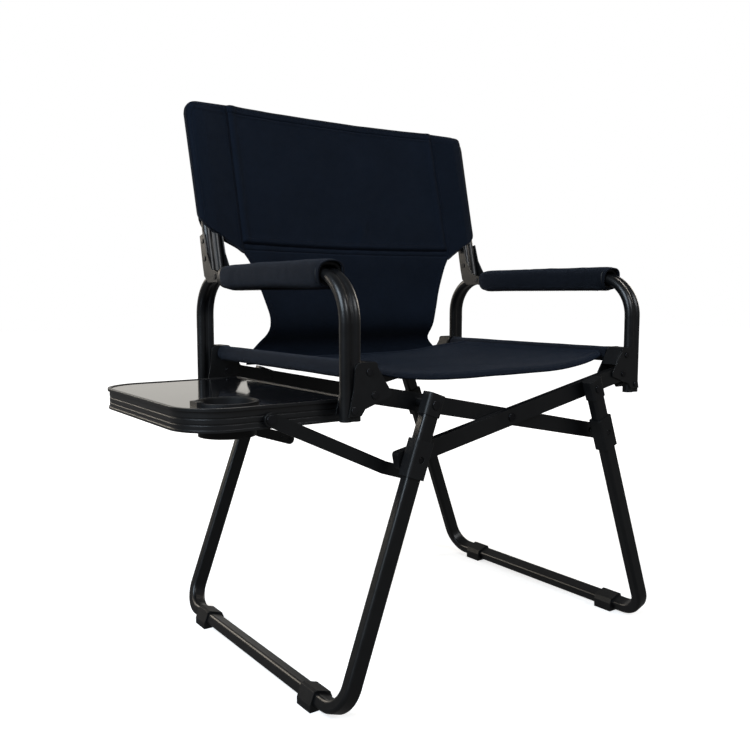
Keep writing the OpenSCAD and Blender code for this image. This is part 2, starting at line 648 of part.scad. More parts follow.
translate([shift_x, 0, 0]) {
    side(-1) arm_tube();  // left_arm_tube
    side(1) arm_tube();  // right_arm_tube
    side(-1) arm_feet();  // left_arm_feet
    side(1) arm_feet();  // right_arm_feet
    side(-1) seat_rail();  // left_seat_rail
    side(1) seat_rail();  // right_seat_rail
    side(-1) rail_plugs();  // left_rail_plugs
    side(1) rail_plugs();  // right_rail_plugs
    side(-1) mirror([0, 1, 0]) bracket();  // left_front_bracket
    side(-1) bracket();  // left_rear_bracket
    side(1) mirror([0, 1, 0]) bracket();  // right_front_bracket
    side(1) bracket();  // right_rear_bracket
    side(-1) bracket_bolts(false);  // left_bracket_bolts
    side(1) bracket_bolts(true);  // right_bracket_bolts
    side(-1) bar_pins(bar_b_y - layer);  // left_bar_pins
    side(1) bar_pins(bar_a_y - layer);  // right_bar_pins
    side(-1) arm_pad();  // left_arm_pad
    side(1) arm_pad();  // right_arm_pad
    side(-1) back_gussets();  // left_back_gussets
    side(1) back_gussets();  // right_back_gussets
    side(-1) gusset_rivets();  // left_gusset_rivets
    side(1) gusset_rivets();  // right_gusset_rivets
    side(-1) back_post();  // left_back_post
    side(1) back_post();  // right_back_post
    side(-1) rail_sleeve();  // left_rail_sleeve
    side(1) rail_sleeve();  // right_rail_sleeve
    side(-1) back_pocket();  // left_back_pocket
    side(1) back_pocket();  // right_back_pocket
    mirror([0, 1, 0]) bar(bar_a_y);  // bar_a_front
    bar(bar_a_y);  // bar_a_rear
    side(-1) mirror([0, 1, 0]) bar(bar_b_y);  // bar_b_front
    side(-1) bar(bar_b_y);  // bar_b_rear
    front_back() bar_end_cap(bar_a_y);  // bar_a_end_caps
    side(-1) front_back() bar_end_cap(bar_b_y);  // bar_b_end_caps
    centre_rivets();
    side(-1) leg();  // left_leg
    side(1) leg();  // right_leg
    side(-1) leg_caps();  // left_leg_caps
    side(1) leg_caps();  // right_leg_caps
    side(-1) foot_clips();  // left_foot_clips
    side(1) foot_clips();  // right_foot_clips
    side(-1) leg_pins(bar_a_y);  // left_leg_pins
    side(1) leg_pins(bar_b_y);  // right_leg_pins
    side(-1) mirror([0, 1, 0]) slider();  // left_front_slider
    side(-1) slider();  // left_rear_slider
    side(1) mirror([0, 1, 0]) slider();  // right_front_slider
    side(1) slider();  // right_rear_slider
    side(-1) slider_rivets();  // left_slider_rivets
    side(1) slider_rivets();  // right_slider_rivets
    tray_rim();
    tray_panel();
    cup_ring();
    cup_well();
    tray_hinge_rod();
    mirror([0, 1, 0]) strut(strut_face(tray_front));  // front_strut
    strut(strut_face(tray_rear));  // rear_strut
    tray_rivets();
    strut_end_pins();
    seat_sling();
    back_sling();
}
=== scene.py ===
"""A folding camp chair with fabric slings, sleeved arms, coated tube and a side tray.

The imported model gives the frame. This script adds the cloth, the stitching and the materials.
"""

import json
import math

import bpy
import numpy as np
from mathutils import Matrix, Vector, noise


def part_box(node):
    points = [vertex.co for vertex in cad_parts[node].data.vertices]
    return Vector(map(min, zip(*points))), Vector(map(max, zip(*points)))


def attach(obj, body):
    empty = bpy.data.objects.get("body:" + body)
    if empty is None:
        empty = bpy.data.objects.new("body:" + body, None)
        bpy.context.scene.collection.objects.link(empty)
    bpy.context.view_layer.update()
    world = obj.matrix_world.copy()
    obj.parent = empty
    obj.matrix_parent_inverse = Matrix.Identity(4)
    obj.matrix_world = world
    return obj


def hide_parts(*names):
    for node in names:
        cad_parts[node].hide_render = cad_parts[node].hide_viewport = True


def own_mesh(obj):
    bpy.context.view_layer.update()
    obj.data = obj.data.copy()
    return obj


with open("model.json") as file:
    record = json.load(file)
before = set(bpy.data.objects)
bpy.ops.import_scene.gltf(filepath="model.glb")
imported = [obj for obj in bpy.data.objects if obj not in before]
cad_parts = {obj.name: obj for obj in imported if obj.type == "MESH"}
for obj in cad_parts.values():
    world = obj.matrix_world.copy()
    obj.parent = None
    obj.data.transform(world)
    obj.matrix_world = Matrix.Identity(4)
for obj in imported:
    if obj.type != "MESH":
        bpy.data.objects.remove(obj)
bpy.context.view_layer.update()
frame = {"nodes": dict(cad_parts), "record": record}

MM = 0.001
SEED = 4.7

# ---------------------------------------------------------------- places taken from the frame


def middle(node):
    """Middle of a CAD node's box."""
    low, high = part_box(node)
    return (low + high) / 2


RAIL = {"left": middle("left_seat_rail"), "right": middle("right_seat_rail")}
POST = {"left": middle("left_back_post"), "right": middle("right_back_post")}
MID_X = (RAIL["left"].x + RAIL["right"].x) / 2
RAIL_HALF = RAIL["right"].x - MID_X
POST_HALF = POST["right"].x - MID_X
RAIL_Z = RAIL["left"].z
ARM_Z = middle("left_arm_pad").z + 1 * MM
SIGN = {"left": -1, "right": 1}

# ---------------------------------------------------------------- materials


def new_material(name):
    """A new material, its node tree and its shader."""
    material = bpy.data.materials.new(name)
    material.use_nodes = True
    tree = material.node_tree
    return material, tree, tree.nodes["Principled BSDF"]


def add(tree, kind, **values):
    """A node with the given properties, and input values where the name is an input's."""
    node = tree.nodes.new(kind)
    for key, value in values.items():
        name = key.replace("_", " ")
        if name in node.inputs:
            node.inputs[name].default_value = value
        else:
            setattr(node, key, value)
    return node


def math_node(tree, operation, a, b):
    """A math node; a and b are sockets or numbers."""
    node = add(tree, "ShaderNodeMath", operation=operation)
    for k, value in enumerate((a, b)):
        if isinstance(value, (int, float)):
            node.inputs[k].default_value = value
        else:
            tree.links.new(value, node.inputs[k])
    return node.outputs[0]


def noise_node(tree, vector, scale, detail=4.0, roughness=0.55):
    """A noise texture's value, at a scale per metre."""
    node = add(tree, "ShaderNodeTexNoise", Scale=scale, Detail=detail, Roughness=roughness)
    tree.links.new(vector, node.inputs["Vector"])
    return node.outputs["Fac"]


def ramp(tree, value, stops):
    """A colour ramp through (place, colour) stops."""
    node = tree.nodes.new("ShaderNodeValToRGB")
    element = node.color_ramp.elements
    while len(element) < len(stops):
        element.new(0.5)
    for item, (place, colour) in zip(element, stops):
        item.position = place
        item.color = (*colour, 1.0)
    tree.links.new(value, node.inputs["Fac"])
    return node.outputs["Color"]


def spread(tree, value, low, high):
    """A 0 to 1 value spread over low to high."""
    node = add(tree, "ShaderNodeMapRange")
    tree.links.new(value, node.inputs["Value"])
    node.inputs["To Min"].default_value = low
    node.inputs["To Max"].default_value = high
    return node.outputs["Result"]


def worn_edges(tree, radius):
    """Normals with edges rounded to a radius, as coating and moulding leave them."""
    return add(tree, "ShaderNodeBevel", samples=4, Radius=radius).outputs["Normal"]


def bump(tree, shader, height, distance, strength=1.0, below=None):
    """Adds a bump to a shader, over the one below."""
    node = add(tree, "ShaderNodeBump", Distance=distance, Strength=strength)
    tree.links.new(height, node.inputs["Height"])
    if below is not None:
        tree.links.new(below, node.inputs["Normal"])
    tree.links.new(node.outputs["Normal"], shader.inputs["Normal"])
    return node.outputs["Normal"]


def woven(name, dark, light, thread, sheen, roughness=0.86, specular=0.10):
    """Plain-woven cloth: two sets of threads over and under, slubs and faint handling marks."""
    material, tree, shader = new_material(name)
    place = add(tree, "ShaderNodeUVMap").outputs["UV"]
    waves = []
    for direction in ("X", "Y"):
        wave = add(tree, "ShaderNodeTexWave", bands_direction=direction, Scale=0.314 / thread)
        wave.inputs["Distortion"].default_value = 0.0
        tree.links.new(place, wave.inputs["Vector"])
        waves.append(wave.outputs["Fac"])
    checker = add(tree, "ShaderNodeTexChecker", Scale=1.0 / thread)
    tree.links.new(place, checker.inputs["Vector"])
    over = add(tree, "ShaderNodeMix", data_type="FLOAT")
    tree.links.new(checker.outputs["Fac"], over.inputs[0])
    tree.links.new(waves[0], over.inputs[2])
    tree.links.new(waves[1], over.inputs[3])
    weave = over.outputs[0]
    slub = noise_node(tree, place, 420.0, 2.0)
    cloud = noise_node(tree, place, 7.0, 5.0, 0.6)
    rub = noise_node(tree, place, 38.0, 3.0, 0.6)
    tone = math_node(tree, "ADD", math_node(tree, "MULTIPLY", weave, 0.34),
                     math_node(tree, "ADD", math_node(tree, "MULTIPLY", slub, 0.26),
                               math_node(tree, "MULTIPLY", cloud, 0.40)))
    colour = ramp(tree, tone, [(0.30, dark), (0.74, light)])
    tree.links.new(colour, shader.inputs["Base Color"])
    rubbed = spread(tree, rub, roughness - 0.08, roughness + 0.08)
    tree.links.new(rubbed, shader.inputs["Roughness"])
    shader.inputs["Sheen Weight"].default_value = sheen
    shader.inputs["Sheen Roughness"].default_value = 0.45
    shader.inputs["Sheen Tint"].default_value = (0.62, 0.74, 1.0, 1.0)
    shader.inputs["Specular IOR Level"].default_value = specular
    low = bump(tree, shader, cloud, 0.004, 0.35)
    mid = bump(tree, shader, slub, 0.0003, 0.5, low)
    bump(tree, shader, weave, 0.00035, 0.8, mid)
    return material


def coated(name, dark, light, rough, grain, metal=0.0, specular=0.5, edge=0.0009):
    """Powder-coated metal: an orange-peel grain, satin gloss that varies, and dust in the tone."""
    material, tree, shader = new_material(name)
    place = add(tree, "ShaderNodeTexCoord").outputs["Object"]
    broad = noise_node(tree, place, 9.0, 4.0)
    fine = noise_node(tree, place, grain, 3.0, 0.5)
    marks = noise_node(tree, place, 60.0, 6.0, 0.7)
    tone = math_node(tree, "ADD", math_node(tree, "MULTIPLY", broad, 0.6),
                     math_node(tree, "MULTIPLY", marks, 0.4))
    tree.links.new(ramp(tree, tone, [(0.35, dark), (0.70, light)]), shader.inputs["Base Color"])
    tree.links.new(spread(tree, marks, rough - 0.07, rough + 0.09), shader.inputs["Roughness"])
    shader.inputs["Metallic"].default_value = metal
    shader.inputs["Specular IOR Level"].default_value = specular
    shader.inputs["Coat Weight"].default_value = 0.12
    shader.inputs["Coat Roughness"].default_value = 0.22
    bump(tree, shader, fine, 0.0002, 0.35, worn_edges(tree, edge))
    return material


def moulded(name, dark, light, rough, grain=1500.0):
    """Moulded plastic with a spark-eroded grain."""
    material, tree, shader = new_material(name)
    place = add(tree, "ShaderNodeTexCoord").outputs["Object"]
    fine = noise_node(tree, place, grain, 4.0, 0.6)
    broad = noise_node(tree, place, 25.0, 4.0)
    tree.links.new(ramp(tree, broad, [(0.35, dark), (0.70, light)]), shader.inputs["Base Color"])
    tree.links.new(spread(tree, fine, rough - 0.06, rough + 0.08), shader.inputs["Roughness"])
    shader.inputs["Specular IOR Level"].default_value = 0.4
    bump(tree, shader, fine, 0.00025, 0.5, worn_edges(tree, 0.0008))
    return material


def laminate(name):
    """Glossy dark table top with a fine fleck and wiping marks in the gloss."""
    material, tree, shader = new_material(name)
    place = add(tree, "ShaderNodeTexCoord").outputs["Object"]
    fleck = noise_node(tree, place, 700.0, 2.0)
    wipe = noise_node(tree, place, 22.0, 6.0, 0.7)
    colour = ramp(tree, fleck, [(0.40, (0.006, 0.006, 0.007)), (0.72, (0.016, 0.016, 0.018))])
    tree.links.new(colour, shader.inputs["Base Color"])
    tree.links.new(spread(tree, wipe, 0.05, 0.13), shader.inputs["Roughness"])
    shader.inputs["Specular IOR Level"].default_value = 0.6
    shader.inputs["Coat Weight"].default_value = 0.6
    shader.inputs["Coat Roughness"].default_value = 0.04
    bump(tree, shader, wipe, 0.0004, 0.10)
    return material


# Cloth: darkest and lightest colour, thread width in metres, sheen, roughness and specular level
SLING = woven("sling_cloth", (0.0020, 0.0042, 0.0090), (0.0070, 0.0120, 0.0230),
              thread=0.0011, sheen=0.035)
SLEEVE = woven("sleeve_cloth", (0.0032, 0.0040, 0.0062), (0.0095, 0.0112, 0.0160),
               thread=0.0009, sheen=0.07, roughness=0.90)
BINDING = woven("binding_tape", (0.0040, 0.0052, 0.0085), (0.0120, 0.0145, 0.0210),
                thread=0.0007, sheen=0.08, roughness=0.70, specular=0.25)
THREAD = woven("sewing_thread", (0.0035, 0.0045, 0.0085), (0.0110, 0.0130, 0.0220),
               thread=0.0004, sheen=0.05, roughness=0.60)
TUBE = coated("coated_tube", (0.0026, 0.0028, 0.0033), (0.0064, 0.0066, 0.0072),
              rough=0.34, grain=900.0, specular=0.42)
RIM = coated("tray_extrusion", (0.0035, 0.0036, 0.0042), (0.0085, 0.0085, 0.0090),
             rough=0.33, grain=700.0, specular=0.55)
STEEL = coated("black_fasteners", (0.014, 0.014, 0.016), (0.045, 0.045, 0.048),
               rough=0.28, grain=1400.0, metal=0.85, edge=0.0016)
PLASTIC = moulded("moulded_plastic", (0.0030, 0.0031, 0.0035), (0.0070, 0.0071, 0.0078), rough=0.46)
TOP = laminate("tray_top")

SLOT_MATERIAL = {
    "coated_tube": TUBE,
    "tray_extrusion": RIM,
    "fasteners": STEEL,
    "moulded_plastic": PLASTIC,
    "tray_top": TOP,
    "sling_fabric": SLING,
    "pad_fabric": SLEEVE,
}


def paint_frame():
    """Gives each CAD node the material of its slot."""
    for part in frame["record"]["subparts"]:
        node = frame["nodes"][part["node"]]
        node.data.materials.clear()
        node.data.materials.append(SLOT_MATERIAL[part["material_slot"]])


# ---------------------------------------------------------------- meshes


def new_piece(name, points, faces, uvs, material, body):
    """A mesh object with UVs in metres, which rides on a body."""
    mesh = bpy.data.meshes.new(name)
    mesh.from_pydata([tuple(p) for p in points], [], faces)
    layer = mesh.uv_layers.new(name="UVMap")
    index = np.zeros(len(mesh.loops), np.int32)
    mesh.loops.foreach_get("vertex_index", index)
    layer.data.foreach_set("uv", np.asarray(uvs, float)[index].ravel())
    mesh.polygons.foreach_set("use_smooth", [True] * len(mesh.polygons))
    mesh.materials.append(material)
    mesh.validate()
    piece = bpy.data.objects.new(name, mesh)
    bpy.context.scene.collection.objects.link(piece)
    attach(piece, body)
    return piece


def grid_normals(grid):
    """Unit normals of a grid of points."""
    across = np.gradient(grid, axis=0)
    along = np.gradient(grid, axis=1)
    normal = np.cross(across, along)
    return normal / np.maximum(np.linalg.norm(normal, axis=2, keepdims=True), 1e-12)


def grid_uv(grid):
    """Lengths along both directions of a grid of points."""
    steps_u = np.linalg.norm(np.diff(grid, axis=0), axis=2)
    steps_v = np.linalg.norm(np.diff(grid, axis=1), axis=2)
    u = np.vstack([np.zeros((1, grid.shape[1])), np.cumsum(steps_u, axis=0)])
    v = np.hstack([np.zeros((grid.shape[0], 1)), np.cumsum(steps_v, axis=1)])
    u = u - u[grid.shape[0] // 2][None, :]
    return np.stack([u, v], axis=2)


def cloth(name, grid, thickness, material, body, loop=False):
    """A sheet of cloth round a grid of points, its thickness a number or a grid.

    With loop, the grid's first direction closes on itself.
    """
    if loop:
        wrapped = np.concatenate([grid[-1:], grid, grid[:1]], axis=0)
        normal = grid_normals(wrapped)[1:-1]
        grid = np.concatenate([grid, grid[:1]], axis=0)
        normal = np.concatenate([normal, normal[:1]], axis=0)
    else:
        normal = grid_normals(grid)
    nu, nv = grid.shape[:2]
    thick = np.broadcast_to(np.asarray(thickness, float), (nu, nv))[..., None]
    uv = grid_uv(grid)
    points = np.concatenate([(grid + normal * thick / 2).reshape(-1, 3),
                             (grid - normal * thick / 2).reshape(-1, 3)])
    uvs = np.concatenate([uv.reshape(-1, 2)] * 2)
    count = nu * nv

    def at(i, j, back=0):
        return back * count + i * nv + j

    faces = []
    for i in range(nu - 1):
        for j in range(nv - 1):
            faces.append((at(i, j), at(i + 1, j), at(i + 1, j + 1), at(i, j + 1)))
            faces.append((at(i, j, 1), at(i, j + 1, 1), at(i + 1, j + 1, 1), at(i + 1, j, 1)))
    for i in range(nu - 1):
        faces.append((at(i, 0), at(i, 0, 1), at(i + 1, 0, 1), at(i + 1, 0)))
        last = nv - 1
        faces.append((at(i, last), at(i + 1, last), at(i + 1, last, 1), at(i, last, 1)))
    if not loop:
        for j in range(nv - 1):
            faces.append((at(0, j), at(0, j + 1), at(0, j + 1, 1), at(0, j, 1)))
            last = nu - 1
            faces.append((at(last, j), at(last, j, 1), at(last, j + 1, 1), at(last, j + 1)))
    piece = new_piece(name, points, faces, uvs, material, body)
    if loop:
        weld = piece.modifiers.new("weld", "WELD")
        weld.merge_threshold = 1e-6
        apply_modifiers(piece)
    return piece


def apply_modifiers(piece):
    """Makes a piece's modifiers part of its mesh."""
    bpy.context.view_layer.update()
    graph = bpy.context.evaluated_depsgraph_get()
    result = bpy.data.meshes.new_from_object(piece.evaluated_get(graph))
    piece.modifiers.clear()
    piece.data = result


def crumple(point, scale, seed=0.0):
    """Smooth noise from -1 to 1 at a place in metres."""
    x, y, z = point
    return noise.noise(Vector((x * scale + SEED + seed, y * scale, z * scale)))


def tube_along(name, path, radius, material, body, sides=8):
    """A round tube through a list of points, closed at its ends."""
    path = np.asarray(path, float)
    tangent = np.gradient(path, axis=0)
    tangent /= np.maximum(np.linalg.norm(tangent, axis=1, keepdims=True), 1e-12)
    helper = np.array([0.0, 0.0, 1.0])
    if abs(tangent[0] @ helper) > 0.9:
        helper = np.array([0.0, 1.0, 0.0])
    first = np.cross(tangent, helper)
    first /= np.maximum(np.linalg.norm(first, axis=1, keepdims=True), 1e-12)
    second = np.cross(tangent, first)
    angle = np.linspace(0, 2 * math.pi, sides, endpoint=False)
    ring = (np.cos(angle)[None, :, None] * first[:, None, :]
            + np.sin(angle)[None, :, None] * second[:, None, :]) * radius
    points = (path[:, None, :] + ring).reshape(-1, 3)
    length = np.concatenate([[0.0], np.cumsum(np.linalg.norm(np.diff(path, axis=0), axis=1))])
    uvs = np.array([(a * radius, s) for s in length for a in angle])
    faces = []
    for i in range(len(path) - 1):
        for k in range(sides):
            n = (k + 1) % sides
            faces.append((i * sides + k, i * sides + n, (i + 1) * sides + n, (i + 1) * sides + k))
    faces.append(tuple(reversed(range(sides))))
    faces.append(tuple(range((len(path) - 1) * sides, len(path) * sides)))
    return new_piece(name, points, faces, uvs, material, body)


def resample(path, spacing):
    """Points evenly spaced along a path."""
    path = np.asarray(path, float)
    steps = np.linalg.norm(np.diff(path, axis=0), axis=1)
    length = np.concatenate([[0.0], np.cumsum(steps)])
    count = max(2, int(length[-1] / spacing))
    places = np.linspace(0, length[-1], count)
    return np.stack([np.interp(places, length, path[:, k]) for k in range(3)], axis=1)


def stitches(name, runs, body, pitch=4.6 * MM, long=3.2 * MM, radius=0.38 * MM):
    """Sewn seams: each run of points carries a row of short raised threads."""
    points, faces, uvs = [], [], []
    sides = 6
    for run in runs:
        path = resample(run, pitch)
        tangent = np.gradient(path, axis=0)
        tangent /= np.maximum(np.linalg.norm(tangent, axis=1, keepdims=True), 1e-12)
        for centre, along in zip(path, tangent):
            helper = np.array([0.0, 0.0, 1.0]) if abs(along[2]) < 0.8 else np.array([0.0, 1.0, 0.0])
            a = np.cross(along, helper)
            a /= np.linalg.norm(a)
            b = np.cross(along, a)
            start = len(points)
            for place, size in ((-0.5, 0.35), (-0.3, 1.0), (0.3, 1.0), (0.5, 0.35)):
                for k in range(sides):
                    turn = 2 * math.pi * k / sides
                    points.append(centre + along * place * long
                                  + (a * math.cos(turn) + b * math.sin(turn)) * radius * size)
                    uvs.append((k * radius, place * long))
            for i in range(3):
                for k in range(sides):
                    n = (k + 1) % sides
                    faces.append((start + i * sides + k, start + i * sides + n,
                                  start + (i + 1) * sides + n, start + (i + 1) * sides + k))
            faces.append(tuple(start + k for k in reversed(range(sides))))
            faces.append(tuple(start + 3 * sides + k for k in range(sides)))
    return new_piece(name, points, faces, uvs, THREAD, body)


# ---------------------------------------------------------------- the back


POST_T = 16 * MM


def back_plane():
    """The back's plane from a post: its axis at arm height, its up, its front and its lean."""
    low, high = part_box("left_back_post")
    # The box holds the post's length and its thickness, so the lean is found in a few rounds
    lean = 0.2
    for _ in range(6):
        lean = math.atan2(high.y - low.y - POST_T * math.cos(lean),
                          high.z - low.z - POST_T * math.sin(lean))
    up = np.array((0.0, math.sin(lean), math.cos(lean)))
    front = np.array((0.0, -math.cos(lean), math.sin(lean)))
    axis = np.array((low + high) / 2)
    return axis - up * ((axis[2] - ARM_Z) / up[2]), up, front, lean


BACK_O, BACK_UP, BACK_FRONT, LEAN = back_plane()
SLING_LOW, SLING_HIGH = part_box("back_sling")
SEAM_X = (SLING_HIGH.x - SLING_LOW.x) / 2
BACK_TOP = (SLING_HIGH.z - ARM_Z) / math.cos(LEAN) - 1 * MM
# A post's section is two lobes: their distance from its middle, and the radius of cloth round one
LOBE_X = 7 * MM
POST_R = 10.5 * MM
OUTER_X = POST_HALF + LOBE_X + POST_R + 1.5 * MM
# The rounding of the pockets' top corners, and how much wider they are there
CORNER_R = 24 * MM
FLARE = 3.5 * MM
# The pockets' diagonal cut: share of the way out, and height above the arms in mm
CUT = [(0.0, 43), (0.12, 50), (0.5, 68), (0.8, 80), (0.93, 90), (1.0, 106)]
# Heights above the arms of the two cross seams and of the back's foot, and how far the middle sags
SEAM_HIGH = 62 * MM
SEAM_LOW = 49 * MM
FOOT = -156 * MM
SAG = 9 * MM
CLOTH_T = 1.5 * MM
PIPING_R = 2.1 * MM
PIPING_OUT = 0.4 * MM
# The top hem's rows of stitches, below the edge
HEM_ROWS = (6 * MM, 15 * MM)
CUT_LOW = CUT[0][1] * MM
CUT_HIGH = CUT[-1][1] * MM
# The middle cloth below its seams, in mm: height above the arms, half width, and how far it hangs
# behind the posts' plane, where it runs down to the seat's rear edge
WAIST = [(-156, 217, 65), (-146, 214, 64), (-134, 207, 64), (-128, 199, 63), (-120, 193, 60),
         (-111, 187, 49), (-102, 184, 34), (-92, 183, 24), (-81, 183, 17.5), (-66, 185, 13),
         (-50, 190, 11), (-30, 196, 9.5), (-9, 203, 7), (12, 211, 4), (30, 218, 1), (38, 224, 0),
         (43, 228, 0), (60, 228, 0)]
WAIST_KEYS = np.array(WAIST, float) * MM
CUT_KEYS = np.array(CUT, float)
# Creases above the cross seam: x in mm, how much each leans, and its height in mm
CREASES = ((14, 0.5, 2.1), (42, -0.35, 1.7), (78, 0.7, 1.2), (-60, 0.2, 0.9))


def on_back(x, along, out):
    """A point of the back: x from the middle, length up from the arms, and distance to the front."""
    point = BACK_O + BACK_UP * along + BACK_FRONT * out
    return np.array([MID_X + x, point[1], point[2]])


def hang(along):
    """How far behind the posts' plane the middle cloth is."""
    return float(np.interp(along, WAIST_KEYS[:, 0], WAIST_KEYS[:, 2]))


def back_half_width(along):
    """Half width of the middle cloth at a height."""
    near = [along - 5 * MM, along, along + 5 * MM]
    smooth = np.interp(near, WAIST_KEYS[:, 0], WAIST_KEYS[:, 1])
    return min(float(smooth.mean()), SEAM_X)


def back_relief(x, along):
    """How far the middle cloth stands out or in: its sag, its seams and its creases."""
    width = back_half_width(along)
    share = min(1.0, abs(x) / width)
    out = -SAG * (1 - share ** 2)
    # The upper panel is doubled and ends in a hem above the lower panel
    edge = SEAM_HIGH - 1.5 * MM * (1 - share ** 2)
    out += 2.2 * MM / (1 + math.exp(-(along - edge) / (0.7 * MM)))
    out += 1.5 * MM * math.exp(-((along - edge - 4 * MM) / (4.0 * MM)) ** 2)
    out -= 2.8 * MM * math.exp(-((along - edge + 2.4 * MM) / (1.9 * MM)) ** 2)
    out -= 1.8 * MM * math.exp(-((along - SEAM_LOW) / (1.5 * MM)) ** 2)
    # The top binding, and the ridge that the pockets' seams raise beside them
    out -= 1.1 * MM * math.exp(-((BACK_TOP - 11 * MM - along) / (1.5 * MM)) ** 2)
    above = 1 / (1 + math.exp(-(along - edge) / (3 * MM)))
    out += 1.9 * MM * above * math.exp(-((SEAM_X - 9 * MM - abs(x)) / (5.5 * MM)) ** 2)
    # Creases that hang from the top edge and fan out above the cross seam
    place = (x * 9, along * 3.5, 0.0)
    out += 1.5 * MM * crumple(place, 1.6) * (1 - share ** 6)
    out += 0.8 * MM * crumple((x * 26, along * 9, 1.0), 1.4, 3.0)
    fan = math.exp(-((along - edge - 30 * MM) / (30 * MM)) ** 2)
    for middle_x, lean, size in CREASES:
        ridge = x - middle_x * MM - lean * (along - edge)
        out += size * MM * fan * math.exp(-(ridge / (6 * MM)) ** 2)
    # Between the pockets, all of it dies out at their seams
    if along > SEAM_LOW:
        out *= min(1.0, max(0.0, (SEAM_X - abs(x)) / (5 * MM)) ** 0.5)
    return out


def on_middle(x, along, out=0.0):
    """A point of the middle cloth, with its relief."""
    point = on_back(x, along, back_relief(x, along) + out)
    point[1] += (hang(along - 6 * MM) + hang(along) + hang(along + 6 * MM)) / 3
    return point


def rows_near(low, high, spots, step=7 * MM, fine=0.9 * MM, reach=7 * MM):
    """Places from low to high, close together near the spots."""
    places = set(np.round(np.arange(low, high, step), 6))
    for spot in spots:
        places.update(np.round(np.arange(spot - reach, spot + reach, fine), 6))
    inside = sorted(p for p in places if low < p < high)
    kept = [low]
    for p in inside:
        if p - kept[-1] > fine * 0.7:
            kept.append(p)
    kept.append(high)
    return np.array(kept)


def edge_columns(count, crowd):
    """Places from -1 to 1, closer together near both ends the nearer crowd is to 1."""
    return np.sin(np.linspace(-1, 1, count) * math.pi / 2 * crowd) / math.sin(math.pi / 2 * crowd)


def back_cloth():
    """Middle of the back, between the two pockets, down to the seat."""
    rows = rows_near(FOOT, BACK_TOP, [SEAM_HIGH, SEAM_LOW, BACK_TOP - 4 * MM, BACK_TOP - 11 * MM])
    columns = edge_columns(121, 0.94)
    grid = np.array([[on_middle(c * back_half_width(r), r) for r in rows] for c in columns])
    # Hems are double along the top and down the free edges
    hem = np.array([[1.0 + 0.9 * (r > BACK_TOP - 11 * MM)
                     + 0.8 * (abs(c) > 1 - 9 * MM / back_half_width(r) and r < SEAM_LOW)
                     for r in rows] for c in columns])
    piece = cloth("back_cloth", grid, CLOTH_T * hem, SLING, "left_frame")
    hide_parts("back_sling")
    return piece


def pocket_outer(along):
    """Outer edge of a pocket at a height: it flares upwards to a rounded corner."""
    edge = OUTER_X + FLARE * max(0.0, (along - CUT_HIGH) / (BACK_TOP - CUT_HIGH))
    rise = min(max(0.0, along - (BACK_TOP - CORNER_R)), CORNER_R)
    return edge - CORNER_R + math.sqrt(CORNER_R ** 2 - rise ** 2)


def pocket_half_thickness(x, along):
    """Half thickness of the pocket: flat at its seam, round over the post, flat again at the top."""
    flat = 1.0 * MM
    lift = (x - SEAM_X) / (POST_HALF - LOBE_X - SEAM_X)
    swell = flat + (POST_R - flat) * min(1.0, max(0.0, lift)) ** 1.15
    over = abs(x) - (POST_HALF + LOBE_X)
    if over > 0:
        swell = math.sqrt(max(POST_R ** 2 - (over * 0.93) ** 2, flat ** 2))
    top = min(1.0, max(0.0, (BACK_TOP - along) / (16 * MM)))
    return flat + (swell - flat) * math.sqrt(max(0.0, 1 - (1 - top) ** 2))


def pocket_bottom(x):
    """Height of the diagonal lower edge."""
    share = (x - SEAM_X) / (OUTER_X - SEAM_X)
    near = np.interp([share - 0.05, share, share + 0.05], CUT_KEYS[:, 0], CUT_KEYS[:, 1])
    return float(near.mean()) * MM


def back_pocket(side):
    """The doubled cloth that sleeves one back post, open along its diagonal lower edge."""
    sign = SIGN[side]
    across = 26
    tall = rows_near(0.0, 1.0, [0.0, 1.0], 1 / 60, 1 / 260, 8 / 260)
    layers = []
    for face in (1, -1):
        sweep = np.linspace(0, 1, across)
        sweep = sweep if face > 0 else sweep[::-1][1:]
        for c in sweep:
            share = math.sin(c * math.pi / 2)
            column = []
            for r in tall:
                reach = SEAM_X + (OUTER_X - SEAM_X) * share
                low = pocket_bottom(reach)
                along = low + (BACK_TOP - low) * r
                x = SEAM_X + (pocket_outer(along) - SEAM_X) * share
                half = pocket_half_thickness(x, along)
                # The two faces meet in the fold at the outer edge
                out = 0.0
                if share < 1:
                    fade = min(1.0, (1 - share) * 12, (x - SEAM_X) / (8 * MM))
                    ripple = crumple((x * 8 * sign, along * 5, face), 3.0, 7.0) * 1.2 * MM
                    out = half + ripple * max(0.0, fade)
                column.append(on_back(sign * x, along, face * out))
            layers.append(column)
    grid = np.array(layers)
    if side == "left":
        grid = grid[::-1]
    piece = cloth(side + "_back_pocket_cloth", grid, 1.4 * MM, SLING, side + "_frame")
    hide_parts(side + "_back_pocket")


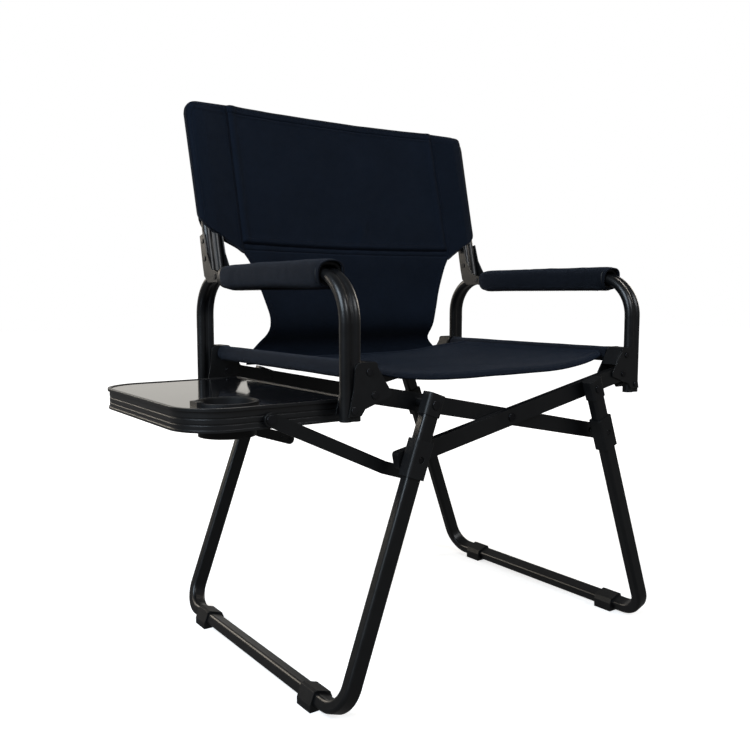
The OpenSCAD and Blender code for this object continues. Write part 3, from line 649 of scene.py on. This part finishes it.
def back_edges():
    """Piping along the back's outline, and the rows of stitching beside the seams."""
    for side, sign in SIGN.items():
        heights = np.linspace(CUT_HIGH + 1 * MM, BACK_TOP - CORNER_R, 40)
        turn = np.linspace(0, math.pi / 2, 14)
        edge = [on_back(sign * (pocket_outer(h) + PIPING_OUT), h, 0.0) for h in heights]
        for a in turn[1:]:
            height = BACK_TOP - CORNER_R * (1 - math.sin(a))
            edge.append(on_back(sign * pocket_outer(height), height + PIPING_OUT, 0.0))
        edge.append(on_back(sign * SEAM_X, BACK_TOP + PIPING_OUT, 0.0))
        cut = [on_back(sign * x, pocket_bottom(x) - 0.3 * MM,
                       0.6 * pocket_half_thickness(x, CUT_HIGH))
               for x in np.linspace(SEAM_X, OUTER_X - 1 * MM, 24)]
        body = side + "_frame"
        tube_along(side + "_back_piping", resample(cut + edge, 5 * MM), PIPING_R, BINDING, body)

        def on_pocket(x, height):
            return on_back(sign * x, height, pocket_half_thickness(x, height) + 1.1 * MM)

        runs = [[on_pocket(pocket_outer(h + 4 * MM) - 7 * MM, h)
                 for h in np.linspace(CUT_HIGH, BACK_TOP - 8 * MM, 60)]]
        for x in (SEAM_X + 1.5 * MM, SEAM_X + 5 * MM):
            runs.append([on_pocket(x, h)
                         for h in np.linspace(CUT_LOW + 6 * MM, BACK_TOP - 6 * MM, 60)])
        for drop in HEM_ROWS:
            runs.append([on_pocket(x, BACK_TOP - drop)
                         for x in np.linspace(SEAM_X + 2 * MM, OUTER_X - 9 * MM, 20)])
        stitches(side + "_pocket_stitching", runs, body)


def back_stitching():
    """Stitches on the middle of the back, which follow its relief."""
    runs = []
    wide = np.linspace(-0.97, 0.97, 70)
    heights = [BACK_TOP - drop for drop in HEM_ROWS] + [SEAM_HIGH + 7 * MM, SEAM_LOW]
    for height in heights:
        runs.append([on_middle(c * back_half_width(height), height, 1.2 * MM) for c in wide])
    for sign in (-1, 1):
        runs.append([on_middle(sign * (back_half_width(h) - 7 * MM), h, 1.3 * MM)
                     for h in np.linspace(FOOT + 6 * MM, SEAM_LOW - 4 * MM, 50)])
    return stitches("back_stitching", runs, "left_frame")


def top_piping():
    """Piping along the top edge of the middle cloth."""
    line = [on_back(x, BACK_TOP + PIPING_OUT, back_relief(x, BACK_TOP))
            for x in np.linspace(-SEAM_X, SEAM_X, 80)]
    return tube_along("back_top_piping", line, PIPING_R, BINDING, "left_frame")


# ---------------------------------------------------------------- the seat

SEAT_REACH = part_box("seat_sling")[1].y
# The sheet ends where it meets the sleeves round the rails
SEAT_INSET = 10.5 * MM
SEAT_EDGE = RAIL_HALF - SEAT_INSET
# How far the seat's corners are cut back at the front and at the rear
SEAT_CUT = {-1: 14 * MM, 1: 40 * MM}


def seat_point(share, y):
    """A point of the seat: share from -1 to 1 across it, y from front to back."""
    x = share * SEAT_EDGE
    z = RAIL_Z - 14 * MM + 19 * MM * abs(share) ** 4
    # The loaded middle hangs a little lower than the two hems
    between_hems = max(0.0, 1 - (y / SEAT_REACH) ** 2)
    z -= 5 * MM * between_hems * (1 - share ** 2)
    z += 1.3 * MM * crumple((x * 4, y * 10, 0.0), 1.5, 11.0) * (1 - share ** 4)
    z += 0.5 * MM * crumple((x * 20, y * 26, 0.0), 1.3, 13.0)
    # The front hem rolls down
    lip = max(0.0, 1 - (y + seat_limit(share, -1)) / (9 * MM)) if y < 0 else 0.0
    z -= 8 * MM * min(1.0, lip) ** 2 * (1 - abs(share) ** 8)
    return np.array([MID_X + x, y, z])


def seat_limit(share, end):
    """How far the seat reaches at a share, to its front (-1) or rear (1), with its cut corners."""
    inset = (1 - abs(share)) * SEAT_EDGE
    short = max(0.0, SEAT_CUT[end] - inset)
    return SEAT_REACH - short


def seat_cloth():
    """The seat, hemmed front and back, with its corners cut back behind the brackets."""
    columns = edge_columns(101, 0.9)
    corners = [1 - cut / SEAT_EDGE for cut in SEAT_CUT.values()]
    columns = np.unique(np.concatenate([columns, corners, [-c for c in corners]]))
    rows = rows_near(-1.0, 1.0, [-1.0, 1.0, -0.92, 0.92], 1 / 45, 1 / 240, 6 / 240)
    # The rear hem runs on to the back's foot, which is sewn to it
    grid = np.array([[seat_point(c, r * seat_limit(c, 1 if r > 0 else -1) + 3 * MM * (r > 0.9))
                      for r in rows] for c in columns])
    thick = np.array([[CLOTH_T * (2.0 if abs(r) > 0.925 else 1.0) for r in rows] for c in columns])
    piece = cloth("seat_cloth", grid, thick, SLING, "left_frame")
    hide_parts("seat_sling")
    return piece


def seat_stitching():
    """Stitches along the seat's hems and beside both rails."""
    runs = []
    for end in (-1, 1):
        for inset in (4 * MM, 15 * MM):
            runs.append([seat_point(c, end * (seat_limit(c, end) - inset))
                         + np.array([0, 0, 1.2 * MM]) for c in np.linspace(-0.97, 0.97, 90)])
    for sign in (-1, 1):
        runs.append([seat_point(sign * 0.925, y) + np.array([0, 0, 1.0 * MM])
                     for y in np.linspace(-SEAT_REACH + 26 * MM, SEAT_REACH - 26 * MM, 60)])
    return stitches("seat_stitching", runs, "left_frame")


def rail_sleeve(side):
    """The seat's sleeve round one rail, a little loose and open at its ends."""
    low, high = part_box(side + "_rail_sleeve")
    centre = RAIL[side]
    radius = (high.z - low.z) / 2
    rows = rows_near(low.y, high.y, [low.y, high.y], 6 * MM, 1.2 * MM, 5 * MM)
    turns = np.linspace(0, 2 * math.pi, 48, endpoint=False)
    grid = []
    for a in turns:
        column = []
        for y in rows:
            end = min(y - low.y, high.y - y)
            place = (math.cos(a) * 0.5, y * 14, math.sin(a) * 0.5)
            r = radius - 1.3 * MM + 0.5 * MM * crumple(place, 1.6, 17.0)
            # The ends are a little loose
            r += 0.7 * MM * math.exp(-(end / (9 * MM)) ** 2)
            column.append((centre.x + r * math.cos(a), y, centre.z + r * math.sin(a)))
        grid.append(column)
    piece = cloth(side + "_rail_sleeve_cloth", np.array(grid), 1.2 * MM, SLEEVE,
                  side + "_frame", loop=True)
    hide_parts(side + "_rail_sleeve")


# ---------------------------------------------------------------- the arms


def pad_section(turn, wide, tall):
    """A rounded-box outline, as a point across and up."""
    c, s = math.cos(turn), math.sin(turn)
    power = 2 / 2.5
    return (wide * math.copysign(abs(c) ** power, c), tall * math.copysign(abs(s) ** power, s))


def arm_pad(side):
    """The padded sleeve on one arm: tight over foam, slack underneath, its ends open."""
    low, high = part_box(side + "_arm_pad")
    centre = (low + high) / 2
    wide, tall = (high.x - low.x) / 2 - 0.8 * MM, (high.z - low.z) / 2 - 0.8 * MM
    sign = SIGN[side]
    rows = rows_near(0.0, 1.0, [0.0, 1.0], 1 / 70, 1 / 300, 9 / 300)
    turns = np.linspace(0, 2 * math.pi, 72, endpoint=False)
    grid = []
    for a in turns:
        column = []
        for r in rows:
            x, z = pad_section(a, wide, tall)
            # The ends pull in, and the lower half is cut on a slant
            end = min(r, 1 - r) * (high.y - low.y)
            pinch = 1 - 0.10 * math.exp(-(end / (7 * MM)) ** 2)
            rear = max(0.0, (r - 0.86) / 0.14)
            pinch *= 1 - 0.13 * rear ** 2 * (side == "left")
            slack = max(0.0, -math.sin(a)) ** 2
            x *= pinch * (0.94 + 0.02 * math.sin(9 * r))
            z *= pinch
            z -= 1.2 * MM * slack * math.sin(r * 7.0 + 1.0)
            y = low.y + (high.y - low.y) * r
            slant = 6 * MM * (1 - math.sin(a)) / 2
            rear_slant = 1 if side == "left" else -0.1
            y += slant * math.exp(-r * 12) - slant * math.exp(-(1 - r) * 12) * rear_slant
            ripple = crumple((x * 12, y * 9, z * 12), 1.7, 21.0 + sign) * 1.0 * MM
            ripple += crumple((x * 20, y * 40, z * 20), 1.7, 23.0 + sign) * 0.5 * MM
            scale = 1 + ripple / max(math.hypot(x, z), 1e-6)
            column.append((centre.x + x * scale, y, centre.z + z * scale))
        grid.append(column)
    piece = cloth(side + "_arm_sleeve", np.array(grid), 2.2 * MM, SLEEVE, side + "_frame",
                  loop=True)
    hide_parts(side + "_arm_pad")
    foam(side, centre, low, high, wide, tall)
    arm_flap(side, centre, low, high, wide, tall)


def foam(side, centre, low, high, wide, tall):
    """Dark foam that fills the sleeve round the tube, set back from the open ends."""
    rows = np.linspace(low.y + 7 * MM, high.y - 7 * MM, 24)
    turns = np.linspace(0, 2 * math.pi, 48, endpoint=False)
    outline = [pad_section(a, wide * 0.80, tall * 0.80) for a in turns]
    grid = [[(centre.x + x, y, centre.z + z) for y in rows] for x, z in outline]
    piece = cloth(side + "_arm_foam", np.array(grid), 7 * MM, PLASTIC, side + "_frame",
                  loop=True)


def arm_flap(side, centre, low, high, wide, tall):
    """The sleeve's overlapping closure under the arm, with its loose corners."""
    sign = SIGN[side]
    rows = np.linspace(0, 1, 60)
    sweep = np.linspace(0, 1, 12)
    grid = []
    for s in sweep:
        column = []
        for r in rows:
            turn = math.radians(-150 + 62 * s) if sign > 0 else math.radians(-30 - 62 * s)
            x, z = pad_section(turn, wide * 0.98, tall + 1.6 * MM)
            rear_loose = math.exp(-((1 - r) * (9 if side == "left" else 14)) ** 2)
            front_loose = math.exp(-(r * 14) ** 2) if side == "right" else 0.0
            loose = max(rear_loose, front_loose) * (1 - s) ** 1.2
            z -= 5.0 * MM * loose
            x -= sign * 1.5 * MM * loose
            y = low.y + 10 * MM + (high.y - low.y - 26 * MM) * r
            column.append((centre.x + x * 0.96, y, centre.z + z))
        grid.append(column)
    grid = np.array(grid)
    if sign < 0:
        grid = grid[::-1]
    piece = cloth(side + "_arm_flap", grid, 1.2 * MM, SLEEVE, side + "_frame")
    run = [grid[-3 if sign > 0 else 2][k] + np.array([0, 0, -1.0 * MM]) for k in range(4, 56)]
    stitches(side + "_arm_stitching", [run], side + "_frame")


# ---------------------------------------------------------------- camera, floor and lights

EYE = Vector((-0.87005 + MID_X, -1.10365, 0.56059))
YAW = math.radians(35.42)
PITCH = math.radians(5.58)
LENS = 39.63
# How bright the walls are to the chair, where 1 is how bright they look
WALL_LIGHT = 0.12


def camera():
    """A camera at a standing eye's angle to the chair's left front."""
    data = bpy.data.cameras.new("camera")
    data.sensor_width = 36.0
    data.lens = LENS
    data.clip_start = 0.01
    data.clip_end = 100.0
    eye = bpy.data.objects.new("camera", data)
    bpy.context.scene.collection.objects.link(eye)
    level = math.cos(PITCH)
    ahead = Vector((math.sin(YAW) * level, math.cos(YAW) * level, -math.sin(PITCH)))
    eye.location = EYE
    eye.rotation_euler = ahead.to_track_quat("-Z", "Y").to_euler()
    bpy.context.scene.camera = eye


def floor():
    """A sheet of pale paper under the chair, which glows with painted light."""
    size = 12.0
    mesh = bpy.data.meshes.new("floor")
    mesh.from_pydata([(-size, -size, 0), (size, -size, 0), (size, size, 0), (-size, size, 0)], [],
                     [(0, 1, 2, 3)])
    material, tree, shader = new_material("floor")
    place = add(tree, "ShaderNodeTexCoord").outputs["Object"]
    tone = noise_node(tree, place, 1.4, 3.0)
    tree.links.new(ramp(tree, tone, [(0.3, (0.78, 0.78, 0.78)), (0.7, (0.82, 0.82, 0.82))]),
                   shader.inputs["Base Color"])
    shader.inputs["Roughness"].default_value = 0.95
    shader.inputs["Specular IOR Level"].default_value = 0.1
    shader.inputs["Emission Color"].default_value = (1.0, 1.0, 1.0, 1.0)
    # The paper glows with painted light, brighter the further it is from the chair, so it has no
    # edge
    reach = add(tree, "ShaderNodeVectorMath", operation="LENGTH")
    tree.links.new(place, reach.inputs[0])
    glow = add(tree, "ShaderNodeMapRange")
    tree.links.new(reach.outputs["Value"], glow.inputs["Value"])
    glow.inputs["From Min"].default_value = 0.6
    glow.inputs["From Max"].default_value = 2.6
    glow.inputs["To Min"].default_value = 0.66
    glow.inputs["To Max"].default_value = 1.0
    tree.links.new(glow.outputs["Result"], shader.inputs["Emission Strength"])
    mesh.materials.append(material)
    ground = bpy.data.objects.new("floor", mesh)
    ground.location.z = -0.3 * MM
    bpy.context.scene.collection.objects.link(ground)
    ground.visible_glossy = False
    ground.visible_diffuse = False


# Name, place, target, size, power and colour
AREA_LIGHTS = [
    ("window", (-2.4, -0.9, 2.1), (0.0, 0.0, 0.5), (1.5, 1.9), 85, (0.74, 0.87, 1.0)),
    ("soft_front", (0.7, -3.0, 2.4), (0.0, 0.0, 0.5), (1.6, 1.0), 40, (0.93, 0.96, 1.0)),
    ("warm_back", (-1.5, 2.6, 1.5), (0.0, 0.0, 0.4), (1.8, 1.0), 34, (1.0, 0.90, 0.76)),
    ("back_card", (0.5, 4.2, 1.25), (0.2, 0.0, 0.5), (5.2, 1.7), 15, (1.0, 0.96, 0.88)),
    ("warm_side", (2.9, 0.4, 1.4), (0.0, 0.0, 0.5), (1.2, 1.2), 26, (1.0, 0.92, 0.82)),
]


def area_light(name, place, target, size, power, colour):
    """A rectangular light at a place, turned to a target, that the camera doesn't see."""
    data = bpy.data.lights.new(name, "AREA")
    data.shape = "RECTANGLE"
    data.size, data.size_y = size
    data.energy = power
    data.color = colour
    light = bpy.data.objects.new(name, data)
    light.location = place
    light.rotation_euler = (Vector(target) - Vector(place)).to_track_quat("-Z", "Y").to_euler()
    light.visible_camera = False
    bpy.context.scene.collection.objects.link(light)


def lights():
    """The studio's walls and its soft lights."""
    world = bpy.data.worlds.new("studio")
    world.use_nodes = True
    tree = world.node_tree
    background = tree.nodes["Background"]
    background.inputs["Color"].default_value = (1.0, 1.0, 1.0, 1.0)
    # The studio's walls look white, and give the chair only a little light
    path = tree.nodes.new("ShaderNodeLightPath")
    strength = add(tree, "ShaderNodeMapRange")
    tree.links.new(path.outputs["Is Camera Ray"], strength.inputs["Value"])
    strength.inputs["To Min"].default_value = WALL_LIGHT
    strength.inputs["To Max"].default_value = 1.0
    tree.links.new(strength.outputs["Result"], background.inputs["Strength"])
    bpy.context.scene.world = world
    for light in AREA_LIGHTS:
        area_light(*light)
    bpy.context.scene.view_settings.view_transform = "Standard"


# ---------------------------------------------------------------- the whole chair


def main():
    """Makes the scene and every piece of cloth."""
    camera()
    floor()
    lights()
    paint_frame()

    seat = seat_cloth()
    seat_thread = seat_stitching()
    back = back_cloth()
    back_thread = back_stitching()
    piping = top_piping()
    for piece in (seat, seat_thread):
        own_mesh(piece)
    for piece in (back, back_thread, piping):
        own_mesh(piece)
    for side in ("left", "right"):
        back_pocket(side)
        rail_sleeve(side)
        arm_pad(side)
    back_edges()


main()
